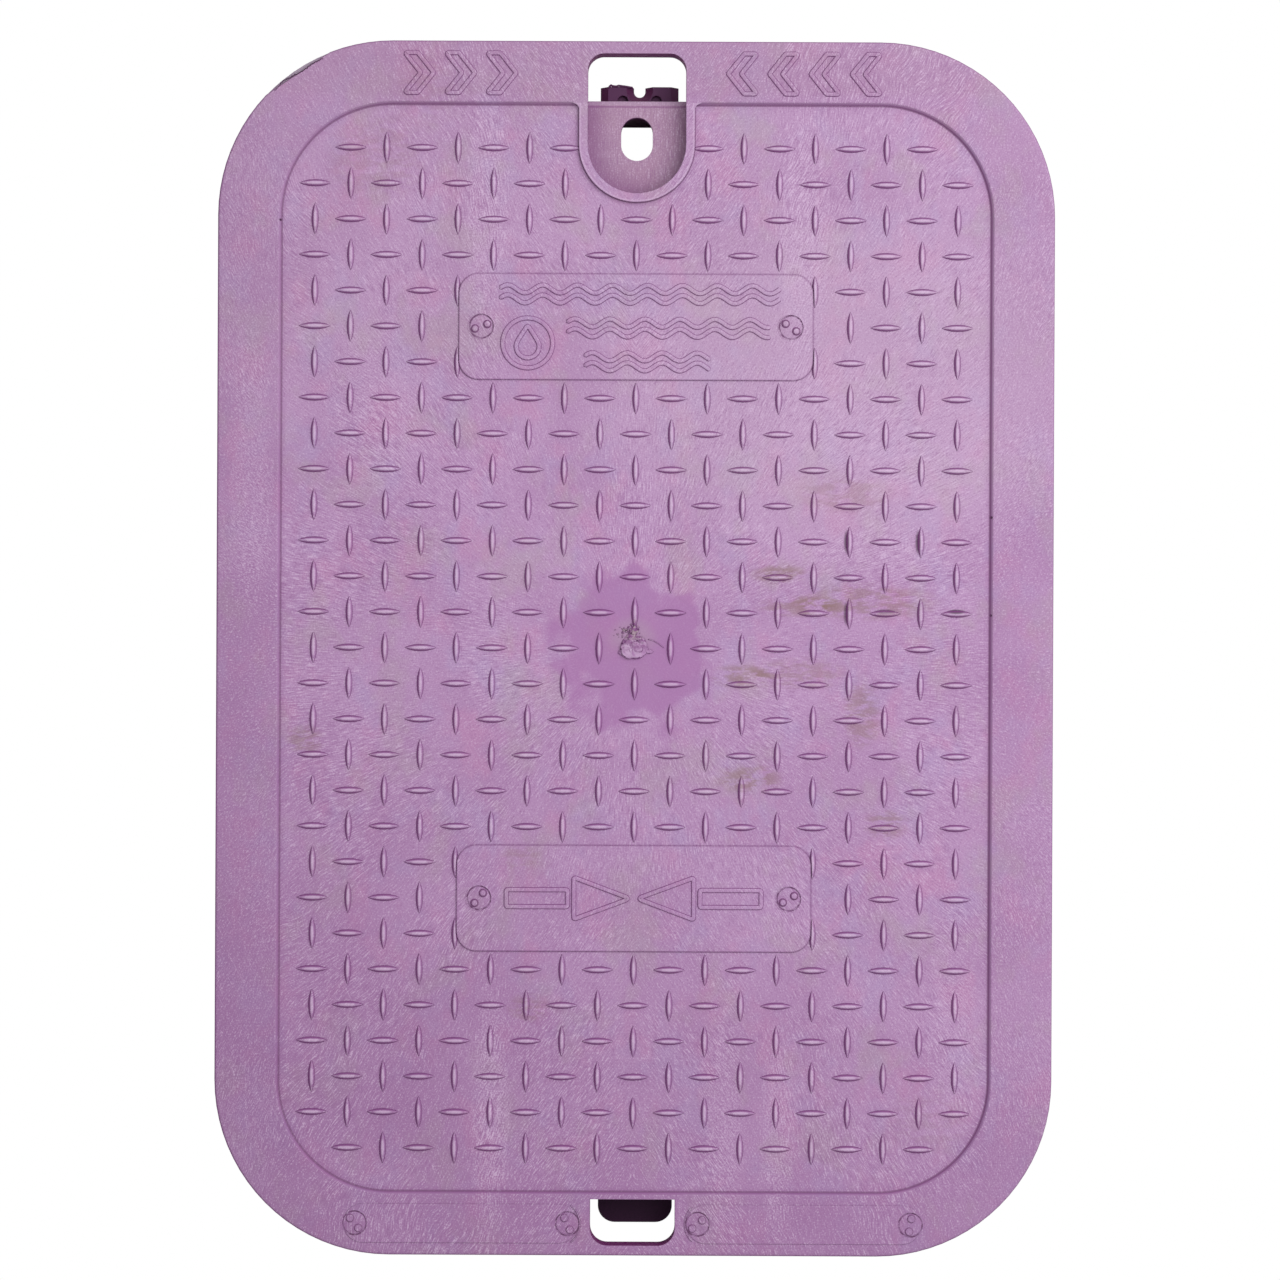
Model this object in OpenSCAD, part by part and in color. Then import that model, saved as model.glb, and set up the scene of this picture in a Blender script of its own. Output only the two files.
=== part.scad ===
// Rectangular valve box cover for a buried irrigation box: one plastic moulding.
// The flat border overlaps the box rim, the skirt drops inside the box opening,
// and a hook at each end reaches under the rim. Millimetres, +Z up, +Y towards the lifting end.
// The origin is the middle of the base, on the plane of the skirt's lower edge.

/* [Cover] */
// Width over the border
cover_w = 335; // [315:1:360]
// Length over the border
cover_l = 486; // [470:1:510]
// Height from the skirt's lower edge to the top of the border
cover_h = 44; // [40:1:52]
// Corner radius of the border, seen from above
corner_r = 70; // [62:1:80]
// Rounding of the border's outer top edge
edge_round = 1.2; // [0.6:0.1:2]

/* [Border] */
// Width of the flat border round the tread field
border_w = 25.6; // [23:0.2:28]
// Thickness of the border's plate
border_t = 6; // [5:0.5:7.5]
// Depth of the lip under the border's outer edge, from the top
lip_h = 11; // [9:0.5:14]
// Thickness of that lip
lip_t = 4; // [3:0.5:5]
// Width of the sloping step from the border down to the field
step_w = 1.4; // [0.8:0.1:2]
// Share of that width that the step's hollow foot takes
step_foot_w = 0.35; // [0.25:0.05:0.4]
// Share of the field's drop that the step has climbed at the end of its foot
step_foot_h = 0.25; // [0.2:0.05:0.35]

/* [Field and skirt] */
// How far the tread field lies below the border
field_drop = 1.5; // [1:0.1:2.5]
// Thickness of the deck under the tread
deck_t = 6; // [5:0.5:8]
// Thickness of the skirt that drops into the box
skirt_t = 3.5; // [3:0.5:5]

/* [Tread] */
// Distance between neighbouring tread bars
tread_pitch = 14.3; // [14:0.1:14.6]
// Least distance from the outermost bars to the field's edge
tread_margin = 4; // [2:0.5:7]
// Length of a tread bar
bar_l = 12.6; // [10:0.2:13]
// Width of a tread bar at its middle
bar_w = 2.8; // [2.2:0.1:3.2]
// Height of a tread bar above the field
bar_h = 1.3; // [1:0.1:1.6]
// How deep a bar's lower edges are sunk into the field
bar_sink = 0.4; // [0.2:0.1:0.8]

/* [Plates and screw marks] */
// Width of the two raised plates in the field
plate_w = 141.8; // [138:0.2:143]
// Length of those plates, along the cover
plate_l = 42.4; // [40:0.2:43]
// Corner radius of those plates
plate_r = 8; // [4:0.5:12]
// Height of those plates above the field
plate_raise = 0.6; // [0.4:0.1:1]
// Gap between a plate and the bars that its edge cuts
plate_gap = 0.3; // [0.2:0.1:0.6]
// Distance of each screw mark from the middle of its plate
plate_mark_x = 62; // [55:0.5:63]
// Length of the two blank plates in the border
blank_w = 94; // [90:0.5:98]
// Width of those blank plates, and the diameter of their round ends
blank_l = 15.6; // [14:0.2:18]
// Height of those blank plates above the border
blank_raise = 0.2; // [0.1:0.05:0.4]
// Distance of the blank plates' middles from the centre line
blank_x = 68.6; // [66:0.2:72]
// Distance of each screw mark from the middle of its blank plate
blank_mark_x = 42.6; // [40:0.2:43]
// Diameter of a screw mark
mark_d = 9.8; // [8:0.2:11]
// Depth of a screw mark
mark_depth = 0.3; // [0.2:0.05:0.5]
// Diameter of the two round pips in a screw mark
pip_d = 2.8; // [2:0.1:3.2]
// Height of a pip above the floor of its mark
pip_h = 0.8; // [0.5:0.1:1.2]
// Distance between the two pips
pip_spacing = 5.2; // [4.5:0.1:5.8]

/* [Moulding gate] */
// Radius of the shallow dish round the gate
gate_dish_r = 28; // [20:0.5:29]
// Depth of that dish
gate_dish_drop = 0.1; // [0.05:0.05:0.3]
// Radius of the broken gate stub at its foot
gate_stub_r = 4; // [3:0.2:5]
// Height of the broken gate stub
gate_stub_h = 1.3; // [0.8:0.1:2]
// Radius of its broken top, as a share of its foot's radius
gate_stub_taper = 0.55; // [0.4:0.05:0.7]

/* [Finger hole and bolt pocket] */
// Width of the finger hole and of the bolt pocket beside it
finger_w = 39.4; // [34:0.2:42]
// Length of the finger hole, along the cover
finger_l = 17.8; // [16:0.2:18.6]
// Corner radius of the finger hole's outer corners
finger_r = 6.5; // [4:0.5:8]
// Distance from the field's end line to the finger hole
finger_edge = 2.8; // [2:0.1:3.5]
// Width of the raised ring round the bolt pocket
ring_w = 3.5; // [2.5:0.25:5]
// Radius of the fillets where that ring meets the border
ring_fillet_r = 2.6; // [1.6:0.2:4]
// Depth of the bolt pocket's floor below the border
pocket_depth = 9; // [8:0.5:10.5]
// Thickness of that floor
pocket_floor_t = 4; // [3:0.5:5]
// Distance from the finger hole to the middle of the pocket's round end
pocket_reach = 18.4; // [16:0.1:20]
// Chamfer on the floor's edge at the finger hole
floor_chamfer = 1.5; // [0.8:0.1:1.8]
// Width of the bolt slot
slot_w = 12.7; // [11:0.1:14]
// Length of the bolt slot, along the cover
slot_l = 17.4; // [15:0.2:19]
// Distance from the finger hole to the middle of the bolt slot
slot_from_hole = 15.4; // [14:0.1:17]

/* [Hook window] */
// Width of the window over the far hook
window_w = 34; // [32:0.5:38]
// Length of that window, along the cover
window_l = 18.5; // [17:0.5:20]
// Corner radius of that window's outer corners
window_r = 7; // [4:0.5:9]
// Bridge between the field's edge and that window
window_bridge = 3; // [2:0.1:3.5]

/* [Hooks] */
// Gap between the lip's lower edge and the hooks, which takes the box rim
hook_gap = 11; // [9:0.5:13]
// Thickness of both hooks
hook_t = 4; // [3:0.5:5]
// Sideways offset of both hooks from the centre line, as seen through the holes
hook_shift = 1; // [0:0.1:1.4]
// Width of the lifting end's hook at its lower face
latch_w = 31.6; // [26:0.2:33]
// Reach of the lifting end's hook past the skirt
latch_reach = 10.2; // [8:0.2:12]
// Share of a hook's half width at which its two gussets stand
hook_gusset_at = 0.7; // [0.5:0.05:0.8]
// Share of a hook's reach that its gussets run out to
hook_gusset_out = 0.6; // [0.5:0.05:0.7]
// Slope of that hook's sides and notch, sideways over its thickness
latch_slope = 3; // [1.5:0.1:3.2]
// Width of the notch in that hook at its lower face
notch_w = 4.6; // [3.6:0.1:5.4]
// Depth of the notch, to the middle of its round end
notch_l = 1.5; // [1:0.1:2.5]
// Radius of the two round relief hollows in that hook
relief_r = 2.1; // [1.4:0.1:2.4]
// Depth of those hollows below the hook's upper face
relief_depth = 2.6; // [1.5:0.1:3.2]
// Distance between the two relief hollows
relief_spacing = 13.6; // [13:0.1:15]
// Distance from the skirt to the middle of the relief hollows
relief_from_skirt = 4.6; // [3.5:0.1:5]
// Width of the far end's hook
tongue_w = 30; // [26:0.2:31]
// Reach of the far end's hook past the skirt
tongue_reach = 15.2; // [12:0.2:16]
// Corner radius of the far end's hook
tongue_r = 6.8; // [4:0.2:9]

/* [Ribs] */
// Tread pitches between neighbouring ribs under the deck
rib_every = 3; // [2:1:3]
// Thickness of a rib where it meets the deck
rib_root_t = 3.4; // [2.8:0.1:4]
// Thickness of a rib at its lower edge
rib_tip_t = 2.4; // [1.8:0.1:2.8]
// Height of the ribs' lower edge above the skirt's lower edge
rib_lift = 20; // [16:0.5:24]
// Thickness of the gussets under the border and the hooks
gusset_t = 3; // [2:0.5:4]

/* [Edge chip] */
// Direction of the chip in the border's edge, seen from its corner's centre
chip_angle = 124; // [118:1:132]
// How far the chip cuts into the border's edge
chip_in = 1.5; // [0.8:0.1:2.4]
// Depth of the chip below the top of the border
chip_depth = 2.4; // [1.5:0.1:4]
// Tilt of the chip's torn floor
chip_tilt = 12; // [6:1:18]

/* [Hidden] */
$fn = 64;
plastic = [0.67, 0.52, 0.68];
cut = 1;                                        // overshoot of every cutting tool

inner_r = corner_r - border_w;                  // corner radius of the field and the skirt
field_hw = cover_w / 2 - border_w;              // half width of the field
field_hl = cover_l / 2 - border_w;              // half length of the field
corner_x = cover_w / 2 - corner_r;
corner_y = cover_l / 2 - corner_r;
field_z = cover_h - field_drop;
deck_z = field_z - deck_t;                      // underside of the deck
border_z = cover_h - border_t;                  // underside of the border's plate
seat_z = cover_h - lip_h;                       // lower edge of the lip, where the cover sits on the box
pocket_z = cover_h - pocket_depth;              // floor of the bolt pocket
hook_z = seat_z - hook_gap;                     // upper face of both hooks

// Bars from the middle one to the outermost, across and along
col_mid = floor((field_hw - bar_l / 2 - tread_margin) / tread_pitch);
row_mid = floor((field_hl - bar_l / 2 - tread_margin) / tread_pitch);
plate_rows = [9, -7];                           // rows from the middle to each plate's own middle
bar_full_h = bar_h + bar_sink;
bar_stations = [-0.5, 0, 0.5];                  // where a bar's sections stand, as shares of its half length
bar_foot_w = bar_w * bar_full_h / bar_h;        // width and length at the sunk edges, so that the
bar_foot_l = bar_l / (1 - bar_sink / (1.5 * bar_full_h)); // outline on the field has the stated ones

hole_y = field_hl + finger_edge;                // edge of the finger hole beside the pocket
pocket_y = hole_y - pocket_reach;               // middle of the pocket's round end
slot_y = hole_y - slot_from_hole;
window_y = -(field_hl + window_bridge);         // edge of the far window nearest the field
blank_y = -(field_hl + border_w / 2);
pip_turns = [20, -35, 50, 30];                  // turn of each plate mark's pair of pips
blank_pip_turns = [-50, -65, 40, 80];           // turn of each border mark's pair of pips
rib_pitch = tread_pitch * rib_every;

function arc(cx, cy, r, from, to, steps) =
    [for (i = [0:steps]) [cx + r * cos(from + (to - from) * i / steps),
                          cy + r * sin(from + (to - from) * i / steps)]];

// A rectangle with round corners, centred, seen from above
module round_rect(w, l, r) {
    union() {
        square([w - 2 * r, l], center = true);
        square([w, l - 2 * r], center = true);
        for (x = [-1, 1], y = [-1, 1])
            translate([x * (w / 2 - r), y * (l / 2 - r)]) circle(r);
    }
}

// A slot with round ends, centred, along Y
module slot_outline(w, l) {
    square([w, l - w], center = true);
    for (y = [-1, 1]) translate([0, y * (l - w) / 2]) circle(w / 2);
}

// Outline from the line y = 0 up to length l, with its two far corners rounded to r
module tab_outline(w, l, r) {
    translate([-w / 2, 0]) square([w, l - r]);
    translate([-w / 2 + r, 0]) square([w - 2 * r, l]);
    for (x = [-1, 1]) translate([x * (w / 2 - r), l - r]) circle(r);
}

// Carries a profile once round the cover: its x is the distance from the corner centres
module carry_round() {
    for (turn = [0:90:270]) {
        across = turn % 180 == 0 ? corner_x : corner_y;
        along = turn % 180 == 0 ? corner_y : corner_x;
        rotate(turn) translate([across, along]) {
            rotate_extrude(angle = 90) children();
            rotate([90, 0, 0]) linear_extrude(2 * along) children();
        }
    }
}

// Section of the border: plate, rounded outer edge, lip and the step down to the field
module border_section() {
    polygon(concat(
        [[inner_r - cut, deck_z], [inner_r - cut, field_z], [inner_r, field_z]],
        [[inner_r + step_w * step_foot_w, field_z + field_drop * step_foot_h]],
        [[inner_r + step_w * (1 - step_foot_h), cover_h - field_drop * step_foot_h / 2]],
        [[inner_r + step_w, cover_h]],
        arc(corner_r - edge_round, cover_h - edge_round, edge_round, 90, 0, 5),
        [[corner_r, seat_z], [corner_r - lip_t, seat_z], [corner_r - lip_t, border_z]],
        [[inner_r + cut, border_z], [inner_r + cut, deck_z]]
    ));
}

module skirt_section() {
    translate([inner_r - skirt_t, 0]) square([skirt_t, deck_z + cut]);
}

module border() { carry_round() border_section(); }

module skirt() { carry_round() skirt_section(); }

module deck() {
    translate([0, 0, deck_z])
        linear_extrude(deck_t) round_rect(2 * field_hw, 2 * field_hl, inner_r);
}

// One rib along Y, centred, thinner at its lower edge
module rib(length) {
    rotate([90, 0, 0]) linear_extrude(length, center = true) polygon([
        [-rib_tip_t / 2, rib_lift], [rib_tip_t / 2, rib_lift],
        [rib_root_t / 2, deck_z + cut], [-rib_root_t / 2, deck_z + cut]
    ]);
}

// The grid of ribs under the deck, trimmed to the skirt and kept clear of the bolt
module ribs() {
    across = floor((field_hw - skirt_t) / rib_pitch);
    along = floor((field_hl - 2 * skirt_t) / rib_pitch);
    difference() {
        intersection() {
            union() {
                for (i = [-across:across]) translate([i * rib_pitch, 0]) rib(cover_l);
                for (j = [-along:along])
                    translate([0, j * rib_pitch]) rotate(90) rib(cover_w);
            }
            linear_extrude(cover_h) round_rect(2 * field_hw - skirt_t,
                                               2 * field_hl - skirt_t,
                                               inner_r - skirt_t / 2);
        }
        translate([0, 0, -cut]) linear_extrude(cover_h) pocket_outline(0, hole_y);
    }
}

// The bolt pocket's outline, grown by margin, from its round end to the straight line at end_y
module pocket_outline(margin, end_y) {
    difference() {
        translate([0, pocket_y]) circle(finger_w / 2 + margin);
        translate([-finger_w, end_y]) square(2 * finger_w);
    }
    translate([-finger_w / 2 - margin, pocket_y])
        square([finger_w + 2 * margin, end_y - pocket_y]);
}

// Walls and floor of the bolt pocket, with the raised ring round it. They end at the skirt's
// face: from there to the finger hole the floor is the collar, which the box rim needs higher up
module pocket_body() {
    translate([0, 0, pocket_z - pocket_floor_t])
        linear_extrude(cover_h - pocket_z + pocket_floor_t) pocket_outline(ring_w, field_hl);
}

// Walls under the border beside the finger hole and the far window, from the skirt to the lip
module collars() {
    span = border_w - lip_t + 2 * cut;
    rise = border_z - seat_z + cut;
    translate([-finger_w / 2 - ring_w, field_hl - cut, seat_z])
        cube([finger_w + 2 * ring_w, span, rise]);
    translate([-window_w / 2 - ring_w, -field_hl + cut - span, seat_z])
        cube([window_w + 2 * ring_w, span, rise]);
}

// The ring's root: it runs over the step onto the border, with a fillet in both corners
module ring_root() {
    foot = finger_w / 2 + ring_w;
    wall_y = field_hl + step_w / 2;
    translate([0, 0, field_z - cut]) linear_extrude(field_drop + cut) difference() {
        translate([-foot - ring_fillet_r, wall_y - ring_fillet_r])
            square([2 * (foot + ring_fillet_r), ring_fillet_r + step_w]);
        for (side = [-1, 1])
            translate([side * (foot + ring_fillet_r), wall_y - ring_fillet_r])
                circle(ring_fillet_r);
    }
}

// Gussets between the lip and the skirt, under the border
module border_gussets() {
    span = border_w - lip_t + 2 * cut;
    rows = floor(corner_y / rib_pitch);
    for (side = [0, 180], j = [-rows:rows])
        rotate(side) translate([field_hw - cut, j * rib_pitch - gusset_t / 2, seat_z])
            cube([span, gusset_t, border_z - seat_z + cut]);
    for (side = [0, 180], i = [-2, -1, 1, 2])
        rotate(side) translate([i * rib_pitch - gusset_t / 2, field_hl - cut, seat_z])
            cube([gusset_t, span, border_z - seat_z + cut]);
}

// The two triangular gussets under a hook, from the skirt's face at y = 0
module hook_gussets(hook_w, hook_reach) {
    under_z = hook_z - hook_t;
    out = hook_reach * hook_gusset_out;
    for (side = [-1, 1])
        translate([side * hook_gusset_at * hook_w / 2, 0])
            rotate([90, 0, 90]) linear_extrude(gusset_t, center = true) polygon([
                [-cut, under_z + cut], [out, under_z + cut], [out, under_z],
                [0, under_z - out], [-cut, under_z - out]
            ]);
}

// Hook at the lifting end: sloping sides, a sloping notch and two round relief hollows
module latch_hook() {
    notch_y = latch_reach - notch_l;
    translate([hook_shift, field_hl]) {
        difference() {
            rotate([90, 0, 0]) translate([0, 0, -latch_reach])
                linear_extrude(latch_reach + cut) polygon([
                    [-latch_w / 2, hook_z - hook_t], [latch_w / 2, hook_z - hook_t],
                    [latch_w / 2 - latch_slope, hook_z], [-latch_w / 2 + latch_slope, hook_z]
                ]);
            translate([0, notch_y, hook_z - hook_t])
                cylinder(h = hook_t, r1 = notch_w / 2, r2 = notch_w / 2 + latch_slope);
            translate([0, notch_y]) rotate([90, 0, 180]) linear_extrude(notch_l + cut) polygon([
                [-notch_w / 2, hook_z - hook_t], [notch_w / 2, hook_z - hook_t],
                [notch_w / 2 + latch_slope, hook_z], [-notch_w / 2 - latch_slope, hook_z]
            ]);
            for (x = [-1, 1])
                translate([x * relief_spacing / 2, relief_from_skirt, hook_z - relief_depth])
                    cylinder(h = relief_depth + cut, r = relief_r);
        }
        hook_gussets(latch_w, latch_reach);
    }
}

// Hook at the far end: a flat tongue with round corners
module tongue_hook() {
    translate([hook_shift, -field_hl]) mirror([0, 1]) {
        translate([0, 0, hook_z - hook_t]) linear_extrude(hook_t)
            translate([0, -cut]) tab_outline(tongue_w, tongue_reach + cut, tongue_r);
        hook_gussets(tongue_w, tongue_reach);
    }
}

// Share of its full width and height that a tread bar has at t, from -1 to 1 along its half length
function leaf(t) = 1 - t * t;

// One tread bar along X: a ridge with a leaf-shaped outline, lofted through three-cornered sections
module tread_bar() {
    last = len(bar_stations) - 1;
    tips = [for (s = [-1, 1]) [s * bar_foot_l / 2, 0, -bar_sink]];
    sections = [for (t = bar_stations, c = [[0, 1], [1, 0], [-1, 0]])
        [t * bar_foot_l / 2, leaf(t) * c[0] * bar_foot_w / 2, leaf(t) * c[1] * bar_full_h - bar_sink]];
    function at(section, corner) = 2 + 3 * section + corner % 3;
    translate([0, 0, field_z]) polyhedron(concat(tips, sections), concat(
        [for (c = [0:2]) [0, at(0, c + 1), at(0, c)]],
        [for (n = [1:last], c = [0:2]) [at(n - 1, c), at(n - 1, c + 1), at(n, c + 1), at(n, c)]],
        [for (c = [0:2]) [1, at(last, c), at(last, c + 1)]]
    ));
}

function lies_across(i, j) = abs(i + j) % 2 == 0;

// Is a point within a plate's outline grown by x and y?
function on_plate(i, j, x, y) =
    len([for (row = plate_rows) if (abs(i) * tread_pitch < plate_w / 2 + x
        && abs(j - row) * tread_pitch < plate_l / 2 + y) 1]) > 0;
function covered(i, j) =
    lies_across(i, j) ? on_plate(i, j, bar_l / 2, 0) : on_plate(i, j, 0, bar_l / 2);
function beside_plate(i, j) = on_plate(i, j, plate_gap + bar_w / 2, 0);
function in_corner(i, j) = abs(i) == col_mid && abs(j) == row_mid;
function in_pocket(i, j) =
    abs(i) * tread_pitch < finger_w / 2 + ring_w
    && j * tread_pitch > pocket_y - finger_w / 2 - ring_w;
function at_gate(i, j) = i == 0 && j == 0;
function has_bar(i, j) =
    !in_corner(i, j) && !in_pocket(i, j) && !covered(i, j) && !at_gate(i, j);

// Bars in a grid, lying and standing in turn: the whole field, or those that a plate's edge cuts
module tread(beside) {
    for (i = [-col_mid:col_mid], j = [-row_mid:row_mid])
        if (has_bar(i, j) && beside_plate(i, j) == beside)
            translate([i * tread_pitch, j * tread_pitch])
                rotate(lies_across(i, j) ? 0 : 90) tread_bar();
}

module plate_outlines(margin) {
    for (row = plate_rows) translate([0, row * tread_pitch])
        round_rect(plate_w + 2 * margin, plate_l + 2 * margin, plate_r + margin);
}

// The raised plates, and the bars beside them cut back to leave a narrow gap
module plates() {
    difference() {
        tread(true);
        translate([0, 0, field_z]) linear_extrude(bar_h + cut) plate_outlines(plate_gap);
    }
    translate([0, 0, field_z - cut]) linear_extrude(plate_raise + cut) plate_outlines(0);
}

module border_blanks() {
    for (x = [-1, 1]) translate([x * blank_x, blank_y, cover_h - cut])
        linear_extrude(blank_raise + cut) rotate(90) slot_outline(blank_l, blank_w);
}

// Places its child at each screw mark; $pip_turn holds that mark's turn
module at_marks() {
    for (p = [0, 1], s = [0, 1]) {
        $pip_turn = pip_turns[2 * p + s];
        translate([(2 * s - 1) * plate_mark_x, plate_rows[p] * tread_pitch, field_z + plate_raise])
            children();
    }
    for (p = [0, 1], s = [0, 1]) {
        $pip_turn = blank_pip_turns[2 * p + s];
        translate([(2 * p - 1) * blank_x + (2 * s - 1) * blank_mark_x, blank_y, cover_h + blank_raise])
            children();
    }
}

module mark_recesses() {
    at_marks() translate([0, 0, -mark_depth]) cylinder(h = mark_depth + cut, d = mark_d);
}

module mark_pips() {
    at_marks() for (s = [-1, 1])
        rotate($pip_turn) translate([s * pip_spacing / 2, 0, -mark_depth - cut])
            cylinder(h = pip_h + cut, d = pip_d);
}

module gate_dish() {
    translate([0, 0, field_z - gate_dish_drop]) cylinder(h = cut, r = gate_dish_r);
}

module gate_stub() {
    translate([0, 0, field_z - cut])
        cylinder(h = gate_stub_h + cut, r1 = gate_stub_r, r2 = gate_stub_r * gate_stub_taper);
}

// Everything that is open right through or cut from above
module cuts() {
    upper_z = cover_h - pocket_z + blank_raise + cut;
    translate([0, 0, pocket_z]) linear_extrude(upper_z) {
        pocket_outline(0, hole_y);
        translate([0, hole_y]) tab_outline(finger_w, finger_l, finger_r);
    }
    translate([0, hole_y, seat_z - cut]) linear_extrude(pocket_z - seat_z + 2 * cut)
        tab_outline(finger_w, finger_l, finger_r);
    translate([0, slot_y, pocket_z - pocket_floor_t - cut])
        linear_extrude(pocket_floor_t + 2 * cut) slot_outline(slot_w, slot_l);
    translate([0, hole_y, pocket_z]) rotate([0, 90, 0])
        cylinder(h = finger_w, r = floor_chamfer, center = true, $fn = 4);
    translate([0, window_y, seat_z - cut]) mirror([0, 1])
        linear_extrude(lip_h + 2 * cut) tab_outline(window_w, window_l, window_r);
    translate([-corner_x, corner_y]) rotate(chip_angle)
        translate([corner_r - chip_in, -corner_r / 2, cover_h - chip_depth])
            rotate([0, -chip_tilt, 0]) cube([corner_r / 4, corner_r, corner_r / 4]);
}

module cover() {
    color(plastic) union() {
        difference() {
            union() {
                border();
                skirt();
                difference() {
                    deck();
                    gate_dish();
                }
                ribs();
                pocket_body();
                ring_root();
                collars();
                border_gussets();
                border_blanks();
                plates();
            }
            cuts();
            mark_recesses();
        }
        mark_pips();
        gate_stub();
        latch_hook();
        tongue_hook();
        tread(false);
    }
}

cover();
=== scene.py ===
# %% [markdown]
# # Valve box cover
# The plastic cover of a buried irrigation box, as one photograph shows it from straight above.
# Its solid shape comes from the CAD frame. This scene adds what the mould and years of footsteps
# leave on it: smooth tread bars, screw marks, raised signs, a torn gate, and a scuffed surface.
# Far, near, left and right are as the photograph shows them: the finger hole is at the far end,
# which is +Y, and the right side is +X.

import math

import bmesh
import bpy
import numpy as np
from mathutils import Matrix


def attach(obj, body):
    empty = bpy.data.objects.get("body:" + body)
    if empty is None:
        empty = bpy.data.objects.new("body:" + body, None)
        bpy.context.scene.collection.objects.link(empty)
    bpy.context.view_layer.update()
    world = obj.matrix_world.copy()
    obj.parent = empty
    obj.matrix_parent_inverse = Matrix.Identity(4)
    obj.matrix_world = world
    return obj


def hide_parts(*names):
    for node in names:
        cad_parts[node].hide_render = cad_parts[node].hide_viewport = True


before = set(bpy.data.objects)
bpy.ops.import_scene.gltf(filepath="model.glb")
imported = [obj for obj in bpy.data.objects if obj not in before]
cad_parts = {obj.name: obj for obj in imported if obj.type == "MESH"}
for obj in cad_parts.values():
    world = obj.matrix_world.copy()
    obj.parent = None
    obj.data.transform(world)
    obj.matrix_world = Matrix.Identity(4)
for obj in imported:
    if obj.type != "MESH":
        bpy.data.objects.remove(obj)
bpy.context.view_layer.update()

# %% [markdown]
# ## Sizes
# All lengths below are in millimetres, from the middle of the cover's base. They follow the CAD
# part: the border's top is at 44 mm, the tread field lies 1.5 mm lower, and the tread bars stand on
# a grid of 14.3 mm. A name that ends in HALF holds half sizes across and along the cover, and one
# that ends in R a radius. Meshes are written in metres at the very end of each piece.

# %% Shared sizes
MM = 0.001
BORDER_Z = 44.0
FIELD_Z = 42.5
PLATE_Z = 43.1
BLANK_Z = 44.2
FIELD_HALF = (141.9, 217.4)
PITCH = 14.3
PLATE_ROWS = (9, -7)
PLATE_HALF = (70.9, 21.2)
PLATE_R = 8.0
PLATE_MARK_X = 62.0
BLANK_X, BLANK_Y = 68.6, -230.2  # middles of the two blank plates in the border
BLANK_MARK_X = 42.6  # from the middle of its blank plate
rng = np.random.default_rng(11)
print("field in mm:", [2 * half for half in FIELD_HALF], "and bars every", PITCH)

# %% [markdown]
# ## Ways to make a mesh
# Every new piece is a surface given by a formula over whole arrays of points. A grid of points
# becomes four-sided faces, and a last step merges points that meet, so that tips and seams close,
# and turns all faces outward.

# %% Mesh helpers
def grid_faces(rows, cols, wrap_rows=False, wrap_cols=False):
    """Four-sided faces between the points of a rows x cols grid, as an array of point numbers."""
    r = np.arange(rows if wrap_rows else rows - 1)
    c = np.arange(cols if wrap_cols else cols - 1)
    r, c = (a.ravel() for a in np.meshgrid(r, c, indexing="ij"))
    up, right = (r + 1) % rows, (c + 1) % cols
    return np.stack([r * cols + c, r * cols + right, up * cols + right, up * cols + c], axis=1)


DOUBLES = 0.002  # points that are nearer than this are one point
EMPTY_AREA = 1e-16  # square metres


def make_piece(name, points, faces, sharp_degrees=40):
    """A smooth mesh object from points in mm and faces. Its doubles are merged, its faces turned
    outward, and its edges over sharp_degrees stay sharp."""
    mesh = bpy.data.meshes.new(name)
    mesh.from_pydata((np.asarray(points) * MM).tolist(), [], np.asarray(faces).tolist())
    work = bmesh.new()
    work.from_mesh(mesh)
    bmesh.ops.remove_doubles(work, verts=work.verts, dist=DOUBLES * MM)
    empty = [face for face in work.faces if face.calc_area() < EMPTY_AREA]
    bmesh.ops.delete(work, geom=empty, context="FACES")
    bmesh.ops.recalc_face_normals(work, faces=work.faces)
    work.to_mesh(mesh)
    work.free()
    mesh.shade_smooth()
    mesh.set_sharp_from_angle(angle=math.radians(sharp_degrees))
    piece = bpy.data.objects.new(name, mesh)
    bpy.context.scene.collection.objects.link(piece)
    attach(piece, "root")
    print(name, len(mesh.polygons), "faces")
    return piece


def repeat(points, faces, places):
    """Copies of one set of points and faces, moved to each place, as one set."""
    places = np.asarray(places, dtype=float)
    moved = points[None] + places[:, None]
    shift = np.arange(len(places))[:, None, None] * len(points)
    return moved.reshape(-1, 3), (faces[None] + shift).reshape(-1, faces.shape[1])


def join(parts):
    """Several sets of points and faces as one."""
    points, faces, count = [], [], 0
    for some_points, some_faces in parts:
        points.append(some_points)
        faces.append(some_faces + count)
        count += len(some_points)
    return np.concatenate(points), np.concatenate(faces)


# %% [markdown]
# ## The moulding
# The cover is one injection moulding, and the CAD node already has its true shape: border, lip,
# skirt, ribs, pocket, holes and hooks. It could be shown as it is, but its faces share no points,
# so a merged copy stands for it: round walls are shaded smooth there while edges stay sharp.

# %% Cover body
def merged_copy(node, name):
    """A copy of a CAD node with its doubled points merged and its edges over 28 degrees sharp."""
    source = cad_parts[node].data
    points = np.empty(len(source.vertices) * 3, dtype=np.float32)
    source.vertices.foreach_get("co", points)
    faces = [tuple(face.vertices) for face in source.polygons]
    piece = make_piece(name, points.reshape(-1, 3) / MM, faces, sharp_degrees=28)
    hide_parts(node)
    return piece


body = merged_copy("cover", "cover_body")

# %% [markdown]
# ## Tread bars
# Steel covers have checker plate rolled into them; a plastic one copies it with short ridges that
# lie and stand in turn. Each ridge was milled into the mould by a pointed cutter that dips in and
# out, so it is leaf-shaped from above and highest at its middle. A height map could raise the bars,
# but it would need a far finer deck and blur their feet. So one bar is made as a lofted surface and
# repeated, over the plainer bars of the solid part.

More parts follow.
